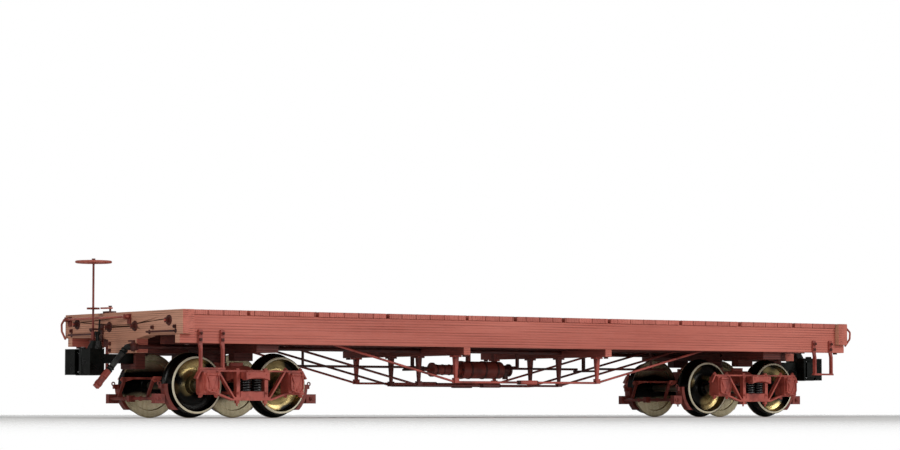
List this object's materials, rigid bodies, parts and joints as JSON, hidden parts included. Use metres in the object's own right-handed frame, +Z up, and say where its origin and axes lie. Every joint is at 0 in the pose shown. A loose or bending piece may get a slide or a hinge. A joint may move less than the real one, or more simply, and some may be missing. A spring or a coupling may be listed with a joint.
{
  "type": "model flat car",
  "caption": "Narrow-gauge model flat car with planked deck, truss rods, sprung arch-bar trucks, knuckle couplers and a brake wheel on a staff.",
  "frame": {"origin": "on the car's centre line, midway between its ends, at the height of the lowest point of the wheel flanges", "axes": "+X along the car towards the end without the brake wheel, +Z up"},
  "size_m": [0.5438, 0.1312, 0.0882],
  "materials": {
    "deck_wood": "moulded plank grain, freight-car red",
    "frame_red": "moulded timber grain, freight-car red",
    "end_wood": "moulded timber grain, worn freight-car red",
    "iron_red": "satin freight-car red",
    "rod_dark": "satin dark red",
    "hose_rubber": "matte black",
    "coupler_black": "satin black",
    "truck_red": "satin freight-car red",
    "spring_black": "satin black",
    "wheel_metal": "blackened steel with turned rims",
    "axle_steel": "turned"
  },
  "bodies": {
    "car_body": {"deck_planks": "deck_wood", "side_sills": "frame_red", "center_sills": "frame_red", "end_beams": "end_wood", "draft_blocks": "frame_red", "body_bolsters": "frame_red", "needle_beams": "frame_red", "queen_posts": "iron_red", "truss_rods": "rod_dark", "turnbuckles": "iron_red", "nuts_and_washers": "iron_red", "grab_irons": "iron_red", "step_irons": "iron_red", "brake_cylinder": "iron_red", "air_reservoir": "iron_red", "triple_valve": "iron_red", "brake_rigging": "iron_red", "train_pipe": "iron_red", "air_hoses": "hose_rubber", "glad_hands": "iron_red", "lever_brackets": "iron_red", "staff_brackets": "iron_red", "brake_chain": "iron_red", "pivot_pins": "rod_dark"},
    "hand_brake": {"brake_staff": "iron_red", "brake_wheel": "iron_red", "ratchet_wheel": "iron_red"},
    "pawl": {"brake_pawl": "iron_red"},
    "coupler_a": {"coupler_body_a": "coupler_black", "knuckle_pin_a": "coupler_black"},
    "knuckle_a": {"knuckle_a": "coupler_black"},
    "lock_a": {"lock_pin_a": "coupler_black"},
    "cut_lever_a": {"cut_lever_a": "iron_red"},
    "truck_a": {"truck_bolster_a": "truck_red"},
    "truck_frame_a": {"side_frames_a": "truck_red", "journal_boxes_a": "truck_red", "spring_plank_a": "truck_red", "truck_springs_a": "spring_black"},
    "wheelset_a1": {"axle_a1": "axle_steel", "wheels_a1": "wheel_metal"},
    "brake_a1": {"brake_beam_a1": "truck_red"},
    "wheelset_a2": {"axle_a2": "axle_steel", "wheels_a2": "wheel_metal"},
    "brake_a2": {"brake_beam_a2": "truck_red"},
    "coupler_b": {"coupler_body_b": "coupler_black", "knuckle_pin_b": "coupler_black"},
    "knuckle_b": {"knuckle_b": "coupler_black"},
    "lock_b": {"lock_pin_b": "coupler_black"},
    "cut_lever_b": {"cut_lever_b": "iron_red"},
    "truck_b": {"truck_bolster_b": "truck_red"},
    "truck_frame_b": {"side_frames_b": "truck_red", "journal_boxes_b": "truck_red", "spring_plank_b": "truck_red", "truck_springs_b": "spring_black"},
    "wheelset_b1": {"axle_b1": "axle_steel", "wheels_b1": "wheel_metal"},
    "brake_b1": {"brake_beam_b1": "truck_red"},
    "wheelset_b2": {"axle_b2": "axle_steel", "wheels_b2": "wheel_metal"},
    "brake_b2": {"brake_beam_b2": "truck_red"}
  },
  "joints": [
    {"name": "brake_wheel_turn", "type": "hinge", "parent": "car_body", "child": "hand_brake", "pos_m": [-0.246, 0.0225, 0.0863], "axis": [0, 0, 1], "continuous": true},
    {"name": "pawl_swing", "type": "hinge", "parent": "car_body", "child": "pawl", "pos_m": [-0.23885, 0.0161, 0.0605], "axis": [0, 0, 1], "range_deg": [0, 11]},
    {"name": "coupler_swing_a", "type": "hinge", "parent": "car_body", "child": "coupler_a", "pos_m": [-0.23315, 0, 0.0305], "axis": [0, 0, 1], "range_deg": [-5.5, 5.5]},
    {"name": "knuckle_open_a", "type": "hinge", "parent": "coupler_a", "child": "knuckle_a", "pos_m": [-0.261, 0.007, 0.03025], "axis": [0, 0, -1], "range_deg": [0, 45]},
    {"name": "cut_lever_lift_a", "type": "hinge", "parent": "car_body", "child": "cut_lever_a", "pos_m": [-0.24285, 0.0236, 0.0553], "axis": [0, 1, 0], "range_deg": [0, 25]},
    {"name": "lock_lift_a", "type": "slide", "parent": "coupler_a", "child": "lock_a", "axis": [0, 0, 1], "range_m": [0, 0.0028]},
    {"name": "truck_swivel_a", "type": "hinge", "parent": "car_body", "child": "truck_a", "pos_m": [-0.1831, 0, 0.0305], "axis": [0, 0, 1], "range_deg": [-10, 10]},
    {"name": "truck_spring_a", "type": "slide", "parent": "truck_a", "child": "truck_frame_a", "axis": [0, 0, 1], "range_m": [-0.00015, 0.001], "stiffness_N_per_m": 6000, "springref_m": -0.0004, "deforming": ["truck_springs_a"]},
    {"name": "axle_roll_a1", "type": "hinge", "parent": "truck_frame_a", "child": "wheelset_a1", "pos_m": [-0.2102, 0, 0.018], "axis": [0, 1, 0], "continuous": true},
    {"name": "brake_swing_a1", "type": "hinge", "parent": "truck_frame_a", "child": "brake_a1", "pos_m": [-0.2297, 0, 0.021], "axis": [0, -1, 0], "range_deg": [0, 2.1]},
    {"name": "axle_roll_a2", "type": "hinge", "parent": "truck_frame_a", "child": "wheelset_a2", "pos_m": [-0.156, 0, 0.018], "axis": [0, 1, 0], "continuous": true},
    {"name": "brake_swing_a2", "type": "hinge", "parent": "truck_frame_a", "child": "brake_a2", "pos_m": [-0.1365, 0, 0.021], "axis": [0, 1, 0], "range_deg": [0, 2.1]},
    {"name": "coupler_swing_b", "type": "hinge", "parent": "car_body", "child": "coupler_b", "pos_m": [0.23315, 0, 0.0305], "axis": [0, 0, 1], "range_deg": [-5.5, 5.5]},
    {"name": "knuckle_open_b", "type": "hinge", "parent": "coupler_b", "child": "knuckle_b", "pos_m": [0.261, -0.007, 0.03025], "axis": [0, 0, -1], "range_deg": [0, 45]},
    {"name": "cut_lever_lift_b", "type": "hinge", "parent": "car_body", "child": "cut_lever_b", "pos_m": [0.24285, -0.0236, 0.0553], "axis": [0, -1, 0], "range_deg": [0, 25]},
    {"name": "lock_lift_b", "type": "slide", "parent": "coupler_b", "child": "lock_b", "axis": [0, 0, 1], "range_m": [0, 0.0028]},
    {"name": "truck_swivel_b", "type": "hinge", "parent": "car_body", "child": "truck_b", "pos_m": [0.1831, 0, 0.0305], "axis": [0, 0, 1], "range_deg": [-10, 10]},
    {"name": "truck_spring_b", "type": "slide", "parent": "truck_b", "child": "truck_frame_b", "axis": [0, 0, 1], "range_m": [-0.00015, 0.001], "stiffness_N_per_m": 6000, "springref_m": -0.0004, "deforming": ["truck_springs_b"]},
    {"name": "axle_roll_b1", "type": "hinge", "parent": "truck_frame_b", "child": "wheelset_b1", "pos_m": [0.156, 0, 0.018], "axis": [0, 1, 0], "continuous": true},
    {"name": "brake_swing_b1", "type": "hinge", "parent": "truck_frame_b", "child": "brake_b1", "pos_m": [0.1365, 0, 0.021], "axis": [0, -1, 0], "range_deg": [0, 2.1]},
    {"name": "axle_roll_b2", "type": "hinge", "parent": "truck_frame_b", "child": "wheelset_b2", "pos_m": [0.2102, 0, 0.018], "axis": [0, 1, 0], "continuous": true},
    {"name": "brake_swing_b2", "type": "hinge", "parent": "truck_frame_b", "child": "brake_b2", "pos_m": [0.2297, 0, 0.021], "axis": [0, 1, 0], "range_deg": [0, 2.1]}
  ],
  "couplings": [
    {"joint": "cut_lever_lift_a", "follows": "lock_lift_a", "rad_per_m": 155},
    {"joint": "brake_swing_a2", "follows": "brake_swing_a1", "ratio": 1},
    {"joint": "cut_lever_lift_b", "follows": "lock_lift_b", "rad_per_m": 155},
    {"joint": "brake_swing_b1", "follows": "brake_swing_a1", "ratio": 1},
    {"joint": "brake_swing_b2", "follows": "brake_swing_a1", "ratio": 1}
  ]
}
